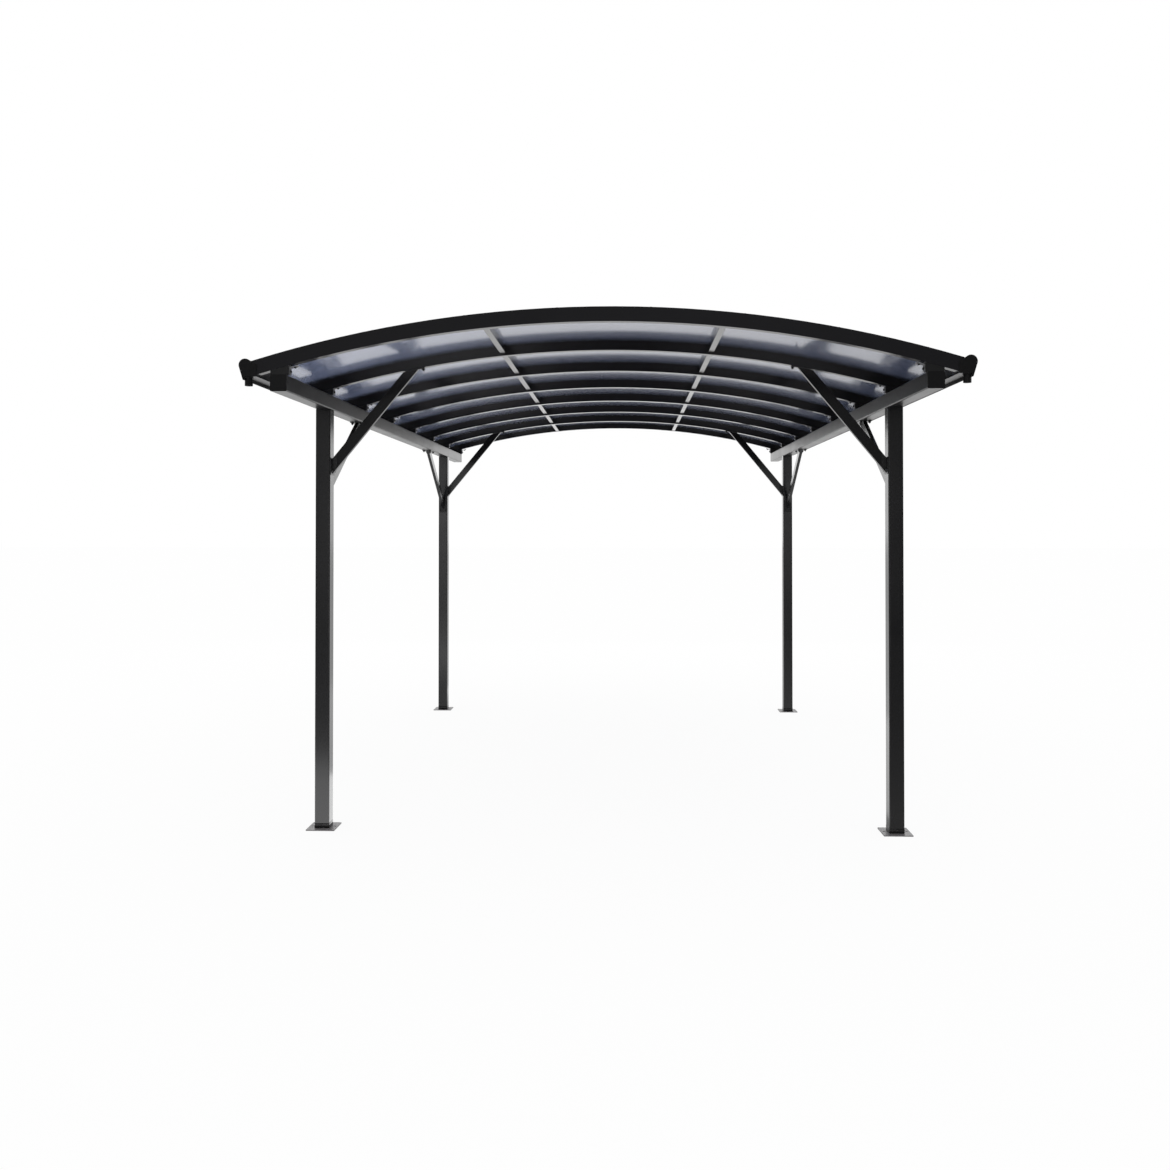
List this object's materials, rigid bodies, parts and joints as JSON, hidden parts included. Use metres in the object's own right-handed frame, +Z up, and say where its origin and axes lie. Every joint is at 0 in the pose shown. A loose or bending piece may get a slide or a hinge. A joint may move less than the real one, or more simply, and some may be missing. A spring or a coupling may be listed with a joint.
{
  "type": "carport",
  "caption": "Arched carport: braced square posts and side beams carry curved ribs with roof panels between them, and a gutter runs along each eave.",
  "frame": {"origin": "middle of the plan, on the ground", "axes": "+Z up, -Y towards the entrance end, +X to the right seen from there"},
  "size_m": [3.251, 5.051, 2.5045],
  "materials": {
    "frame": "satin anthracite powder coat",
    "rib": "satin anthracite powder coat",
    "gutter": "satin anthracite powder coat",
    "brace": "satin anthracite powder coat",
    "plate": "grey primer coat",
    "seat": "mill finish",
    "bracket": "satin black powder coat",
    "end_cap": "fine grain",
    "panel": "smoke-tinted, smooth"
  },
  "bodies": {
    "root": {"base_plate_front_left": "plate", "base_plate_front_right": "plate", "base_plate_rear_left": "plate", "base_plate_rear_right": "plate", "post_front_left": "frame", "post_front_right": "frame", "post_rear_left": "frame", "post_rear_right": "frame", "side_beam_left": "frame", "side_beam_right": "frame", "beam_caps": "end_cap", "rib_seats_left": "seat", "rib_seats_right": "seat", "arch_rib_1": "rib", "arch_rib_2": "rib", "arch_rib_3": "rib", "arch_rib_4": "rib", "arch_rib_5": "rib", "arch_rib_6": "rib", "arch_rib_7": "rib", "arch_rib_8": "rib", "roof_panel_1": "panel", "roof_panel_2": "panel", "roof_panel_3": "panel", "roof_panel_4": "panel", "roof_panel_5": "panel", "roof_panel_6": "panel", "roof_panel_7": "panel", "purlin_left": "frame", "purlin_right": "frame", "cross_brace_front_left": "brace", "cross_brace_front_right": "brace", "cross_brace_rear_left": "brace", "cross_brace_rear_right": "brace", "long_brace_front_left": "brace", "long_brace_front_right": "brace", "long_brace_rear_left": "brace", "long_brace_rear_right": "brace", "brace_plates_left": "bracket", "brace_plates_right": "bracket", "gutter_left": "gutter", "gutter_right": "gutter", "gutter_caps": "end_cap", "gutter_outlet_left": "end_cap", "gutter_outlet_right": "end_cap"}
  },
  "joints": []
}
